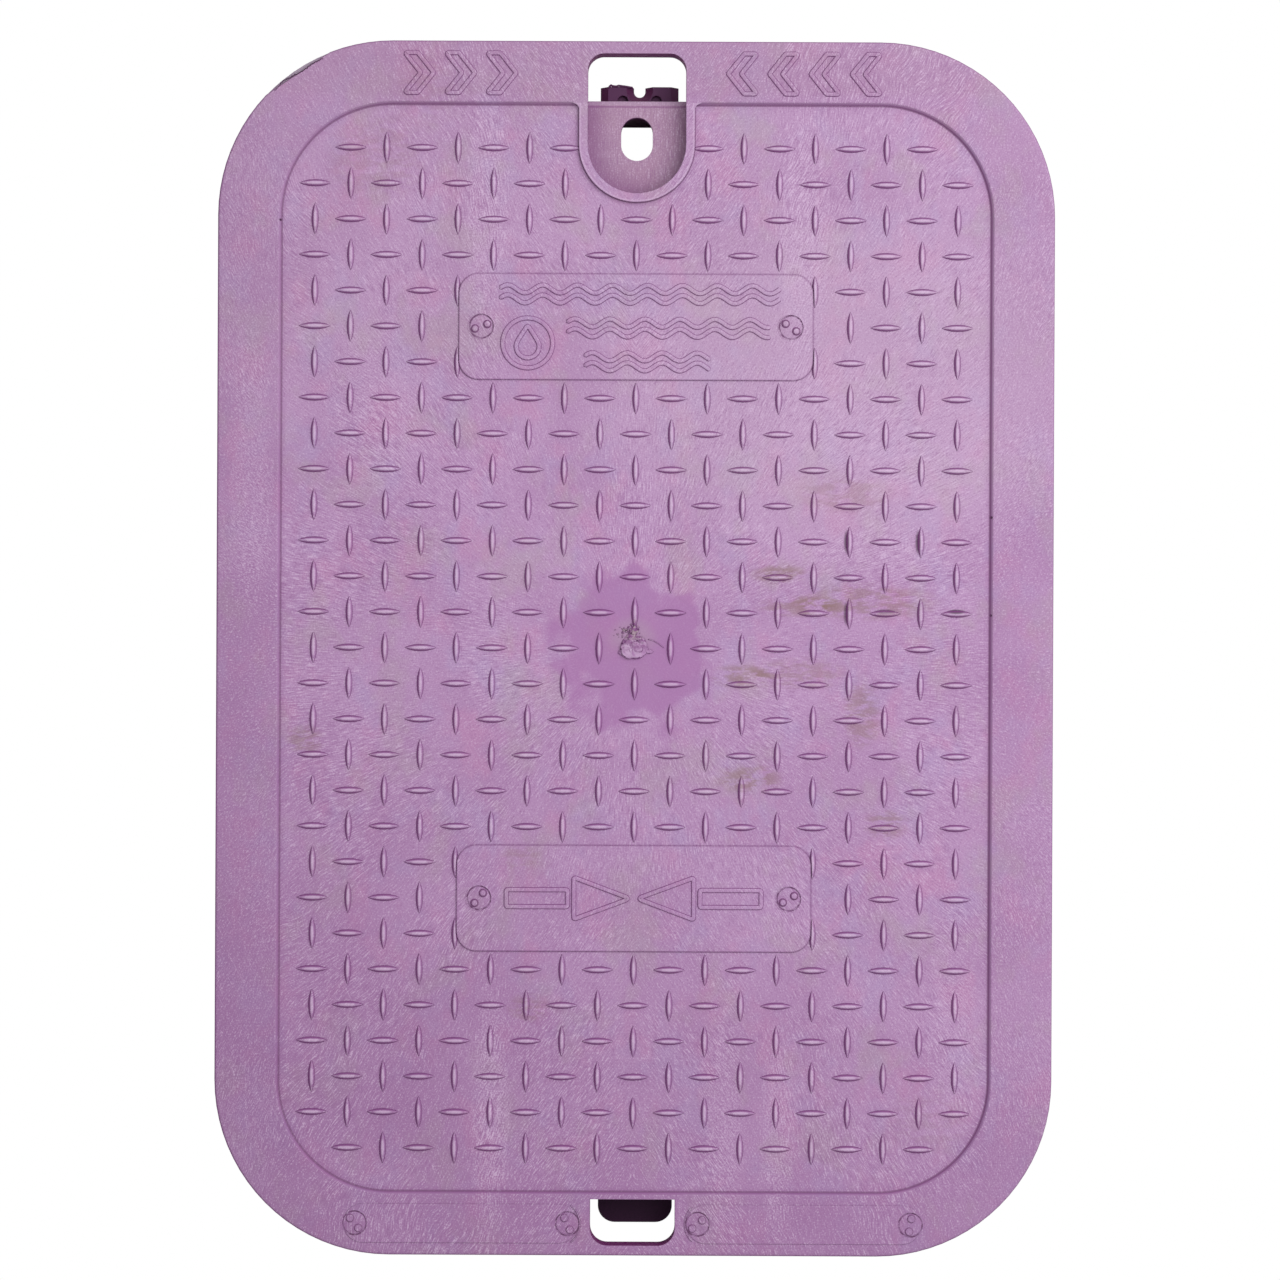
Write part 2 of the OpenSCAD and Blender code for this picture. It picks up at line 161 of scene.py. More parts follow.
# %% Tread
BAR_HALF_L = 6.5
BAR_HALF_W = 1.45
BAR_H = 1.33
BAR_FOOT = 0.2
BAR_LEAF = 2.4  # the higher this power is, the blunter the leaf
BAR_GAP = 0.3  # between a plate and the bars that its edge cuts
BAR_ROOM = 6.3  # what a plate takes beyond its edge from bars that point to it
LAST_COLUMN, LAST_ROW = 9, 14
CUT_COLUMN = 5


def tread_bar(lying):
    """One bar. Along it, t runs from -1 to 1; width and height both follow 1 - |t| to the power
    BAR_LEAF. Across it, s runs from -1 to 1 and the height follows 1 - s squared, a round crest. A
    last point under the bar closes the section."""
    t = np.sin(np.linspace(-1, 1, 9) * math.pi / 2)
    s = np.array([-1, -0.62, -0.36, -0.15, 0.15, 0.36, 0.62, 1.0, 0.0])
    leaf = 1 - abs(t) ** BAR_LEAF
    fall = s**2
    x = np.repeat(t[:, None] * BAR_HALF_L, len(s), axis=1)
    y = leaf[:, None] * s[None] * BAR_HALF_W
    z = leaf[:, None] * (1 - fall[None]) * BAR_H
    z[:, -1] = -BAR_FOOT * np.sqrt(np.maximum(leaf, 0))
    points = np.stack([x, y, z + FIELD_Z] if lying else [-y, x, z + FIELD_Z], axis=-1)
    return points.reshape(-1, 3), grid_faces(len(t), len(s), wrap_cols=True)


def bar_places():
    """Places of the bars that the plates, the bolt pocket, the corners and the gate leave."""
    columns, rows = (np.arange(-last, last + 1) for last in (LAST_COLUMN, LAST_ROW))
    i, j = (a.ravel() for a in np.meshgrid(columns, rows, indexing="ij"))
    lying = (i + j) % 2 == 0
    x, y = i * PITCH, j * PITCH
    in_corner = (abs(i) == LAST_COLUMN) & (abs(j) == LAST_ROW)
    on_gate = (i == 0) & (j == 0)
    at_pocket = (abs(i) <= 1) & (j >= LAST_ROW - 1)
    free = ~(in_corner | on_gate | at_pocket)
    for row in PLATE_ROWS:
        half_x = PLATE_HALF[0] + np.where(lying, BAR_ROOM, 0.0)
        half_y = PLATE_HALF[1] + np.where(lying, 0.0, BAR_ROOM)
        free &= ~((abs(x) < half_x) & (abs(y - row * PITCH) < half_y))
    return np.stack([x, y, 0 * x], axis=1)[free], lying[free]


def cut_beside_plates(points):
    """Bars that a plate's edge cuts stop a little short of it, round its corners too."""
    edge_r = PLATE_R + BAR_GAP
    for row in PLATE_ROWS:
        beyond = abs(points[:, 1] - row * PITCH) - (PLATE_HALF[1] - PLATE_R)
        reach = np.sqrt(np.maximum(edge_r**2 - np.clip(beyond, 0, edge_r) ** 2, 0))
        edge = np.where(beyond < edge_r, PLATE_HALF[0] - PLATE_R + reach, 0)
        near = abs(abs(points[:, 0]) - CUT_COLUMN * PITCH) < 2
        pushed = np.sign(points[:, 0]) * np.maximum(abs(points[:, 0]), edge)
        points[:, 0] = np.where(near, pushed, points[:, 0])
    return points


places, lying = bar_places()
flat_points, bar_faces = tread_bar(lying=True)
tall_points, _ = tread_bar(lying=False)
tread_points, tread_faces = join([
    repeat(flat_points, bar_faces, places[lying]),
    repeat(tall_points, bar_faces, places[~lying]),
])
tread = make_piece("tread_bars", cut_beside_plates(tread_points), tread_faces, sharp_degrees=60)
print("bars:", len(places))

# %% [markdown]
# ## Screw marks
# Each raised plate is a steel insert in the mould, held by two screws from the front. Their heads
# print a round mark: a plain disc in a thin ring groove, with two pips left by the spanner holes.
# The disc here fills the recess of the solid part up to that groove, and each pip has a sloping
# foot. On the plates a low rim stands round the groove as well. All are profiles turned once round,
# because that is how the cutter and the screw made them.

# %% Screw marks
MARK_SEGMENTS = 48
MARK_R = np.array([0.0, 4.1, 4.36, 4.5, 4.56])
MARK_Z = np.array([-0.05, -0.04, -0.08, -0.18, -0.32])
RIM_R = np.array([4.88, 5.0, 5.2, 5.4, 5.6])
RIM_Z = np.array([-0.05, 0.12, 0.17, 0.10, -0.05])
PIP_SEGMENTS = 24
PIP_R = np.array([0.0, 0.85, 1.05, 1.2, 1.45, 1.75])
PIP_Z = np.array([0.48, 0.48, 0.43, 0.33, 0.24, -0.06])
PLATE_PIP_TALLER = 1.6
PIP_OUT = 2.6
PIP_TURNS = (20, -35, 50, 30, -50, -65, 40, 80)  # degrees, plates first


def turned(radii, heights, segments):
    """A profile (radii, heights) turned once round the vertical axis."""
    turn = np.linspace(0, 2 * math.pi, segments, endpoint=False)
    x = radii[:, None] * np.cos(turn)[None]
    y = radii[:, None] * np.sin(turn)[None]
    z = np.repeat(heights[:, None], segments, axis=1)
    points = np.stack([x, y, z], axis=-1).reshape(-1, 3)
    return points, grid_faces(len(radii), segments, wrap_cols=True)


def pip_places(places, turns):
    """Two places per mark, on either side of its middle, along a line turned by those degrees."""
    return [(x + out * math.cos(math.radians(a)), y + out * math.sin(math.radians(a)), z)
            for (x, y, z), a in zip(places, turns) for out in (-PIP_OUT, PIP_OUT)]


plate_places = [(side * PLATE_MARK_X, row * PITCH, PLATE_Z)
                for row in PLATE_ROWS for side in (-1, 1)]
blank_places = [(side * BLANK_X + out, BLANK_Y, BLANK_Z)
                for side in (-1, 1) for out in (-BLANK_MARK_X, BLANK_MARK_X)]
mark_parts = [
    repeat(*turned(MARK_R, MARK_Z, MARK_SEGMENTS), plate_places + blank_places),
    repeat(*turned(RIM_R, RIM_Z, MARK_SEGMENTS), plate_places),
    repeat(*turned(PIP_R, PIP_Z * PLATE_PIP_TALLER, PIP_SEGMENTS),
           pip_places(plate_places, PIP_TURNS[:4])),
    repeat(*turned(PIP_R, PIP_Z, PIP_SEGMENTS), pip_places(blank_places, PIP_TURNS[4:])),
]
print("screw marks:", len(plate_places + blank_places))

# %% [markdown]
# ## Raised signs
# The border and the plates carry plain signs: chevrons that point to the finger hole, waves and a
# drop for the water below, and the usual drawing sign of a valve in its pipe. Each is a rounded
# ridge, as an engraving cutter leaves it in the mould. Bevelled curves could draw them; here one
# function moves a small section along a path, which also lets a ridge end in a point.

# %% Ridges
SECTION_SIDE = np.array([1, 0.82, 0.68, 0.5, -0.5, -0.68, -0.82, -1, 0])
SECTION_RISE = np.array([0, 0.62, 0.92, 1, 1, 0.92, 0.62, 0, -0.36])


def ridge(path, base_z, width=2.0, height=0.55, closed=True):
    """A ridge along a flat path, with the section above: a flat top and round flanks. Its last
    point is sunk into the base. An open ridge ends in two points."""
    path = np.asarray(path, dtype=float)
    if closed:
        along = np.roll(path, -1, axis=0) - np.roll(path, 1, axis=0)
        size = np.ones(len(path))
    else:
        along = np.gradient(path, axis=0)
        run = np.concatenate([[0], np.cumsum(np.linalg.norm(np.diff(path, axis=0), axis=1))])
        ends = np.minimum(run, run[-1] - run) / (width / 2)
        size = np.sqrt(np.clip(1 - (1 - np.clip(ends, 0, 1)) ** 2, 0, 1))
    along /= np.linalg.norm(along, axis=1, keepdims=True)
    across = np.stack([-along[:, 1], along[:, 0]], axis=1)
    side, rise = SECTION_SIDE * width / 2, SECTION_RISE * height
    flat = path[:, None] + across[:, None] * (size[:, None] * side[None])[..., None]
    z = base_z + size[:, None] * rise[None]
    points = np.concatenate([flat, z[..., None]], axis=-1).reshape(-1, 3)
    return points, grid_faces(len(path), len(side), wrap_rows=closed, wrap_cols=True)


def round_path(x, y, radius, turn):
    """Points of a circle at those angles."""
    return np.stack([x + radius * np.cos(turn), y + radius * np.sin(turn)], axis=1)


# %% [markdown]
# Beside the two middle marks of the near border a slipped cutter left a faint arc in the mould. It
# prints as a very low ridge, and belongs to the screw marks' mesh.

# %% Cutter's arcs
ARC_R = 9.3
ARC_OUT = 4.3  # the arcs' centres lie this far outside the marks' middles
for (x, _, _), middle, half_span in zip(blank_places[1:3], (0, 180), (54, 48)):
    turn = np.radians(np.linspace(middle - half_span, middle + half_span, 40))
    path = round_path(x + math.copysign(ARC_OUT, x), BLANK_Y, ARC_R, turn)
    mark_parts.append(ridge(path, BLANK_Z, width=0.6, height=0.14, closed=False))
marks = make_piece("screw_marks", *join(mark_parts))

# %% [markdown]
# The chevrons stand in the far border, three to the left of the finger hole and four to the right,
# and all point to it. Their corners are rounded by short curves, as a round cutter can't leave a
# sharp one.

# %% Signs on the border
CHEVRON_ARM, CHEVRON_TIP, CHEVRON_HALF_H = 5.2, 6.4, 8.0
CHEVRON_PITCH = 16.5
CHEVRON_Y = 230.0
CORNER_STEPS = 8


def rounded_path(corners, radius):
    """A closed path of straight lines through the corners, each corner rounded in short steps."""
    corners = np.asarray(corners, dtype=float)
    t = np.linspace(0, 1, CORNER_STEPS + 1)[:, None]
    path = []
    for before, here, after in zip(np.roll(corners, 1, axis=0), corners,
                                   np.roll(corners, -1, axis=0)):
        back, ahead = ((end - here) / np.linalg.norm(end - here) for end in (before, after))
        half = 0.5 * math.acos(np.clip(back @ ahead, -1, 1))
        reach = radius / math.tan(half)
        start, end = here + back * reach, here + ahead * reach
        path.append((1 - t) ** 2 * start + 2 * t * (1 - t) * here + t**2 * end)
    return np.concatenate(path)


def chevron(x, direction):
    """The closed outline of one chevron that points along X."""
    arm, tip, half = CHEVRON_ARM, CHEVRON_TIP, CHEVRON_HALF_H
    corners = [(0, half), (arm, half), (arm + tip, 0), (arm, -half), (0, -half), (tip, 0)]
    return rounded_path([(x + direction * a, CHEVRON_Y + b) for a, b in corners], 0.7)


chevrons = [chevron(first_x + k * CHEVRON_PITCH, direction)
            for first_x, direction, count in ((-93, 1, 3), (48, -1, 4)) for k in range(count)]
border_signs = make_piece("border_chevrons", *join([ridge(path, BORDER_Z) for path in chevrons]))

# %% [markdown]
# The far plate carries a badge with a drop and three pairs of waves. A wave is a sine line, and the
# drop is a circle whose far half is pulled out to a point.

# %% Signs on the far plate
WAVE_L, WAVE_H = 14, 1.6
WAVE_POINTS = 1.5  # for each millimetre
WAVES = [(-55, 58, 13), (-28, 54, -0.5), (-21, 30, -14)]  # start, end, from the plate's middle
BADGE_X, BADGE_Y, BADGE_R = -43.4, -6.6, 10
DROP_Y, DROP_R = -8, 4.6


def wave(start, end, y):
    """An open sine line."""
    x = np.linspace(start, end, int((end - start) * WAVE_POINTS))
    return np.stack([x, y + WAVE_H * np.sin((x - start) * 2 * math.pi / WAVE_L)], axis=1)


def drop(x, y, size):
    """A drop: a circle below, drawn out to a point above."""
    turn = np.linspace(0, 2 * math.pi, 40, endpoint=False)
    pull = np.maximum(np.cos(turn), 0) ** 3
    return np.stack([x + size * np.sin(turn) * (1 - 0.55 * pull),
                     y + size * (np.cos(turn) + 0.75 * pull)], axis=1)


upper_y, lower_y = (row * PITCH for row in PLATE_ROWS)
turn = np.linspace(0, 2 * math.pi, 72, endpoint=False)
badge = round_path(BADGE_X, upper_y + BADGE_Y, BADGE_R, turn)
water = [ridge(badge, PLATE_Z), ridge(drop(BADGE_X, upper_y + DROP_Y, DROP_R), PLATE_Z)]
for start, end, rise in WAVES:
    water += [ridge(wave(start, end, upper_y + rise + lift), PLATE_Z, closed=False)
              for lift in (-2, 2)]
upper_signs = make_piece("water_signs", *join(water))

# %% [markdown]
# The near plate carries the drawing sign of a valve: two triangles that meet at their tips, with a
# piece of pipe on either side.

# %% Sign on the near plate
TRIANGLE = [(1.5, 0), (24, 8.4), (24, -8.4)]
PIPE = [(26.5, 3.4), (51, 3.4), (51, -3.4), (26.5, -3.4)]
valve = [ridge(rounded_path([(side * a, lower_y + b) for a, b in shape], 0.8), PLATE_Z)
         for side in (-1, 1) for shape in (TRIANGLE, PIPE)]
lower_signs = make_piece("valve_sign", *join(valve))

# %% [markdown]
# ## Torn gate
# Plastic enters the mould through a gate in the middle of the field. When the sprue breaks off, it
# leaves a rough stub with crumbs and one thin thread. It could be sculpted; flattened spheres that
# random waves roughen come close, and are the same each run. A soft ring eases the rim of the
# shallow dish round the gate.

# %% Rough lumps
LUMP_RIPPLES = 7
LUMP_TOP = BORDER_Z + 0.5


def rough_lump(centre, half, rough, rings=10, segments=18):
    """A flattened sphere whose radius is changed by a few random waves over its two angles."""
    tilt = np.linspace(0, math.pi, rings)[:, None]
    spin = np.linspace(0, 2 * math.pi, segments, endpoint=False)[None]
    wobble = np.ones((rings, segments))
    for _ in range(LUMP_RIPPLES):
        a, b, shift = rng.integers(1, 5), rng.integers(1, 6), rng.uniform(0, 2 * math.pi)
        ripple = np.cos(a * 2 * tilt + shift) * np.cos(b * spin + shift * 3)
        wobble += rough * rng.uniform(0.3, 1) * ripple
    wobble[0], wobble[-1] = wobble[0].mean(), wobble[-1].mean()
    x = half[0] * wobble * np.sin(tilt) * np.cos(spin)
    y = half[1] * wobble * np.sin(tilt) * np.sin(spin)
    z = half[2] * wobble * np.cos(tilt) + 0 * spin
    points = np.stack([x, y, z], axis=-1).reshape(-1, 3) + np.asarray(centre)
    points[:, 2] = np.minimum(points[:, 2], LUMP_TOP)
    return points, grid_faces(rings, segments, wrap_cols=True)


# %% Gate stub and crumbs
STUB_X = -0.3
RIM_HALF = (5.3, 4.4)
RIM_LUMPS = 10
CRUMBS = 60
CRUMB_X, CRUMB_Y = (-3.2, 2.4), (6.9, 1.6)  # middle and spread
DISH_R = np.array([26.2, 27.2, 28.2, 29.4])
DISH_Z = np.array([-0.13, -0.05, 0.012, -0.03])

lumps = [  # middle, half sizes and roughness; the stub has more points
    rough_lump((STUB_X, 0.0, FIELD_Z + 0.1), (5.3, 4.5, 1.55), 0.10, 18, 36),
    rough_lump((-4.9, -1.5, FIELD_Z), (1.9, 1.0, 0.8), 0.14),
    rough_lump((5.4, -1.2, FIELD_Z), (1.9, 0.9, 0.6), 0.14),
    rough_lump((-1.2, 4.2, FIELD_Z), (1.9, 1.7, 0.9), 0.15),
    rough_lump((-0.4, 7.0, FIELD_Z), (1.6, 1.9, 1.0), 0.16),
    rough_lump((0.9, 8.3, FIELD_Z), (0.9, 0.8, 0.6), 0.16),
]
crumb_x, crumb_y = rng.normal(*CRUMB_X, CRUMBS), rng.normal(*CRUMB_Y, CRUMBS)
for x, y, size in zip(crumb_x, crumb_y, rng.uniform(0.16, 0.5, CRUMBS)):
    lumps.append(rough_lump((x, y, FIELD_Z + 0.05), (size, size * 0.8, size * 0.6), 0.12, 5, 7))
rim_turn = rng.uniform(0.2, 1.1, RIM_LUMPS) * math.pi
rim_share = rng.uniform(0.7, 1.0, RIM_LUMPS)
for a, share, size in zip(rim_turn, rim_share, rng.uniform(0.7, 1.4, RIM_LUMPS)):
    x, y = RIM_HALF[0] * share * math.cos(a), RIM_HALF[1] * share * math.sin(a)
    half = (size, size * 0.7, size * 0.65)
    lumps.append(rough_lump((STUB_X + x, y, FIELD_Z + 0.4), half, 0.15, 8, 12))
bend = np.linspace(0, 1, 16)
thread = np.stack([5.1 + 6.8 * bend, 3.7 - 3.6 * bend**1.8], axis=1)
lumps.append(ridge(thread, FIELD_Z - 0.1, width=0.45, height=0.3, closed=False))
lumps.append(turned(DISH_R, FIELD_Z + DISH_Z, 96))
gate = make_piece("gate_stub", *join(lumps), sharp_degrees=25)

# %% [markdown]
# ## Torn edges
# The chip in the border's far left corner has a torn lip, and the lifting end's hook has a broken
# bit of flash along one half of its end. Both are thin ridges along a ragged line.

# %% Torn edges
HOOK_Z = 22.0
RAG_STEP = 0.5
RAG_JITTER = 0.16


def ragged(corners):
    """A line through the corners in short steps, each point of it pushed aside at random."""
    corners = np.asarray(corners, dtype=float)
    run = np.concatenate([[0], np.cumsum(np.linalg.norm(np.diff(corners, axis=0), axis=1))])
    at = np.linspace(0, run[-1], int(run[-1] / RAG_STEP))
    line = np.stack([np.interp(at, run, corners[:, 0]), np.interp(at, run, corners[:, 1])], axis=1)
    return line + rng.normal(0, RAG_JITTER, line.shape)


CHIP_LINE = [(-145.2, 222.2), (-141.6, 226.6), (-138.8, 227.9), (-134.8, 229.8), (-130.2, 233.2),
             (-125.4, 235.6)]
FLASH_LINE = [(-11.6, 226.8), (-10.8, 228.5), (-9.8, 227.7), (-6.0, 227.9), (-3.0, 227.6),
              (-1.8, 226.9)]
tears = make_piece("torn_edges", *join([
    ridge(ragged(CHIP_LINE), BORDER_Z - 0.12, width=0.45, height=0.3, closed=False),
    ridge(ragged(FLASH_LINE), HOOK_Z - 0.1, width=0.9, height=0.5, closed=False),
]))

# %% [markdown]
# ## Finish
# The plastic is a dull purple polyolefin. It flowed from the gate in the middle to the edges and
# set with a fine grain along that flow, which sun and feet have since bleached into short pale
# fibres that point away from the gate. Pinkish, grey and lilac clouds lie over it. Where nothing
# reaches it (flanks, holes, hooks, the underside and the patch round the gate) it keeps its
# smooth, deeper colour. Painted shade darkens it below the holes, in corners, grooves and the
# pocket, and towards the near left; painted light brightens it towards the far right and on flanks
# that face the lamp, with painted highlights on the bars' crests and the border's inner edge.
# Painted textures could show all this; patterns worked out from the object's own coordinates need
# no pictures and stay sharp at any distance.

# %% Shader helpers
class Shader:
    """Builds one material: each method adds nodes, feeds their inputs and gives an output."""

    def __init__(self, name):
        self.material = bpy.data.materials.new(name)
        self.material.use_nodes = True
        self.tree = self.material.node_tree
        self.surface = self.tree.nodes["Principled BSDF"]
        coordinates = self.tree.nodes.new("ShaderNodeTexCoord")
        self.place = coordinates.outputs["Object"]
        self.x, self.y, self.z = self.split(self.place)

    def feed(self, socket, value):
        """Links an output to the socket, or sets the socket to a plain value."""
        if isinstance(value, bpy.types.NodeSocket):
            self.tree.links.new(value, socket)
        else:
            socket.default_value = value

    def split(self, vector):
        """The three coordinates of a vector."""
        node = self.tree.nodes.new("ShaderNodeSeparateXYZ")
        self.feed(node.inputs[0], vector)
        return node.outputs

    def math(self, operation, a, b=0.0, c=0.0, clamp=False):
        """One step of arithmetic. MULTIPLY_ADD gives a times b plus c."""
        node = self.tree.nodes.new("ShaderNodeMath")
        node.operation = operation
        node.use_clamp = clamp
        for socket, value in zip(node.inputs, (a, b, c)):
            self.feed(socket, value)
        return node.outputs[0]

    def product(self, *values):
        """All values multiplied."""
        result = values[0]
        for value in values[1:]:
            result = self.math("MULTIPLY", result, value)
        return result

    def total(self, *values):
        """All values added."""
        result = values[0]
        for value in values[1:]:
            result = self.math("ADD", result, value)
        return result

    def rest(self, value):
        """What is left of 1."""
        return self.math("SUBTRACT", 1.0, value)

    def centred(self, noise):
        """A noise less its mean, so that it goes both ways from 0."""
        return self.math("SUBTRACT", noise, 0.5)

    def length(self, a, b):
        """The length of a flat vector."""
        return self.math("SQRT", self.total(self.product(a, a), self.product(b, b)))

    def swap(self, share, a, b):
        """a where the share is 0, b where it is 1."""
        return self.total(self.product(self.rest(share), a), self.product(share, b))

    def between(self, value, low, high):
        """0 below low, 1 above high and smooth in between; with low above high it falls."""
        node = self.tree.nodes.new("ShaderNodeMapRange")
        node.interpolation_type = "SMOOTHSTEP"
        flip = low > high
        self.feed(node.inputs["Value"], value)
        self.feed(node.inputs["From Min"], min(low, high))
        self.feed(node.inputs["From Max"], max(low, high))
        self.feed(node.inputs["To Min"], 1.0 if flip else 0.0)
        self.feed(node.inputs["To Max"], 0.0 if flip else 1.0)
        return node.outputs["Result"]

    def ramp(self, value, low, high):
        """The same for a length, with low and high in mm."""
        return self.between(value, low * MM, high * MM)

    def slab(self, value, start, full, last, end):
        """1 from full to last, and 0 before the start and past the end, all in mm."""
        return self.product(self.ramp(value, end, last), self.ramp(value, start, full))

    def flat_noise(self, vector, detail, rough):
        """Noise over the first two coordinates of a vector."""
        node = self.tree.nodes.new("ShaderNodeTexNoise")
        node.noise_dimensions = "2D"
        self.feed(node.inputs["Vector"], vector)
        for key, value in (("Scale", 1.0), ("Detail", detail), ("Roughness", rough)):
            node.inputs[key].default_value = value
        return node

    def noise(self, size, detail=2.0, rough=0.5, turn=0.0, shift=0.0, three=False):
        """Noise seen from above, whose cells measure size = (x, y) in mm, turned by an angle in
        degrees. With three, it gives three unlike noises instead of one."""
        mapping = self.tree.nodes.new("ShaderNodeMapping")
        mapping.vector_type = "TEXTURE"
        self.feed(mapping.inputs["Vector"], self.place)
        mapping.inputs["Location"].default_value = (shift * MM, shift * 0.7 * MM, 0)
        mapping.inputs["Rotation"].default_value = (0, 0, math.radians(turn))
        mapping.inputs["Scale"].default_value = (size[0] * MM, size[1] * MM, 1)
        node = self.flat_noise(mapping.outputs[0], detail, rough)
        return self.split(node.outputs["Color"]) if three else node.outputs["Fac"]

    def fibres(self, angle, reach, at_radius, width, length, shift):
        """Noise drawn out along the flow. Its cells are length long and, at that radius, width
        wide, all in mm."""
        vector = self.tree.nodes.new("ShaderNodeCombineXYZ")
        self.feed(vector.inputs[0], self.math("MULTIPLY_ADD", angle, at_radius / width, shift))
        self.feed(vector.inputs[1], self.math("MULTIPLY_ADD", reach, 1 / (length * MM), shift))
        return self.flat_noise(vector.outputs[0], 1.0, 0.6).outputs["Fac"]

    def spot(self, x, y, half_x, half_y):
        """1 in the middle of an oval spot in mm, and 0 outside it."""
        dx = self.math("DIVIDE", self.math("SUBTRACT", self.x, x * MM), half_x * MM)
        dy = self.math("DIVIDE", self.math("SUBTRACT", self.y, y * MM), half_y * MM)
        squares = self.math("ADD", self.product(dx, dx), self.product(dy, dy))
        return self.between(squares, 1.0, 0.1)

    def spots(self, table):
        """The sum of many spots: each row is a middle, a half size and a strength."""
        return self.total(*(self.product(self.spot(*oval), strength) for *oval, strength in table))

    def mix(self, amount, a, b):
        """Colour a with that amount of colour b."""
        node = self.tree.nodes.new("ShaderNodeMix")
        node.data_type = "RGBA"
        for key, value in (("Factor", amount), ("A", a), ("B", b)):
            socket = next(s for s in node.inputs if s.name == key and s.enabled)
            self.feed(socket, (*value, 1.0) if isinstance(value, tuple) else value)
        return next(s for s in node.outputs if s.enabled)

    def coat(self, colour, coats):
        """Lays coats over a colour in their order. Each is a tint and the shares of it."""
        for tint, *shares in coats:
            colour = self.mix(self.product(*shares), colour, tint)
        return colour

    def count(self, step):
        """Says how many nodes the material has after a step."""
        print(step + ":", len(self.tree.nodes), "shader nodes")


# %% [markdown]
# ### Tints
# The tints are linear values, as Blender takes them. The first ones are the plastic itself, from
# deep, where nothing has worn it, to pale, where feet and sun have; DEEP and DUSK also serve as
# painted shade. The others are its clouds and patches, the dirt on it, a painted light for the far
# right, and the painted shade of steps, grooves, holes and depths.

# %% Tints
# DEEP and DUSK: plastic that nothing has worn, and painted shade in corners, the pocket and the
# near left.
DEEP = (0.200, 0.056, 0.198)
DUSK = (0.275, 0.120, 0.280)
SHADED = (0.408, 0.228, 0.420)
FADED = (0.452, 0.266, 0.468)
PALE = (0.640, 0.470, 0.655)
PINK = (0.500, 0.225, 0.410)
LILAC = (0.400, 0.290, 0.500)
GREY = (0.405, 0.315, 0.365)
PATCH = (0.362, 0.160, 0.372)
SHELTERED = (0.360, 0.215, 0.310)
SOIL = (0.260, 0.160, 0.150)
GRIT = (0.360, 0.290, 0.270)
# painted shade for the hole walls
HOLE_WALL_SHADE = (0.200, 0.030, 0.165)
# painted shade for steps, screw grooves and pip feet
STEP_SHADE = (0.150, 0.055, 0.140)
SOOT = (0.045, 0.020, 0.040)
CHIPPED = (0.430, 0.370, 0.440)
# painted light for the far right, towards the lamp
FAR_RIGHT_LIGHT = (0.560, 0.405, 0.560)
# painted shade for the depths below the holes
DEPTH_SHADE = (0.110, 0.032, 0.100)
DEPTH_SLOPE_SHADE = (0.095, 0.003, 0.065)
DARKEST_SHADE = (0.030, 0.003, 0.028)

# %% [markdown]
# ### Where feet and light reach
# Flat ground at the top is exposed. The slopes of the bars, signs and steps are not, nor is
# anything below the holes. Flanks that face the right, where the lamp stands, count as a little
# more facing up, which is painted light. Heights are counted from the level that they belong to,
# and out_x and out_y are the distances from the cover's two centre lines.

# %% Exposed parts
plastic = Shader("purple_plastic")

over_field, over_plate, over_border, over_blank = (
    plastic.math("SUBTRACT", plastic.z, level * MM)
    for level in (FIELD_Z, PLATE_Z, BORDER_Z, BLANK_Z))
out_x, out_y = (plastic.math("ABSOLUTE", value) for value in (plastic.x, plastic.y))
normal = plastic.tree.nodes.new("ShaderNodeNewGeometry").outputs["Normal"]
normal_x, _, normal_z = plastic.split(normal)

# normal_x tilts this mask towards the lamp on the right: painted light on flanks that face it.
facing_up_and_light = plastic.between(plastic.math("MULTIPLY_ADD", normal_x, 0.14, normal_z), 0.58, 0.90)
pocket_floor = plastic.product(plastic.slab(plastic.z, 32.4, 33.2, 36.5, 38),
                               plastic.between(normal_z, 0.45, 0.66))
facing_up_and_light = plastic.math("MAXIMUM", facing_up_and_light, pocket_floor)
exposed = plastic.product(facing_up_and_light, plastic.ramp(plastic.z, 28, 34))
plastic.count("exposed parts")

# %% [markdown]
# ### Painted shade in corners
# Each corner line is known from its distance: to the field's outline, to the pocket's, to a
# plate's, and to the middle of a screw mark. Near zero distance the plastic is painted darker, as
# the shade that falls there.

# %% Distances
FIELD_R = 44.4
POCKET_Y = 201.8  # middle of its round end
POCKET_R = 19.7
RING_W = 3.5
PLATES_Y = PITCH * sum(PLATE_ROWS) / 2  # halfway between the two plates
PLATES_OUT = PITCH * (PLATE_ROWS[0] - PLATE_ROWS[1]) / 2


def outline_gap(dx, dy, radius):
    """Distance from a round-cornered outline; dx and dy count from the centres of its corners."""
    dx, dy = plastic.math("MAXIMUM", dx, 0.0), plastic.math("MAXIMUM", dy, 0.0)
    return plastic.math("SUBTRACT", plastic.length(dx, dy), radius * MM)


def offset(value, *steps):
    """The absolute value less a step in mm, as many times as there are steps."""
    for step in steps:
        value = plastic.math("SUBTRACT", plastic.math("ABSOLUTE", value), step * MM)
    return value


def from_y(place):
    """How far a point lies beyond a place along the cover, which is given in mm."""
    return plastic.math("SUBTRACT", plastic.y, place * MM)


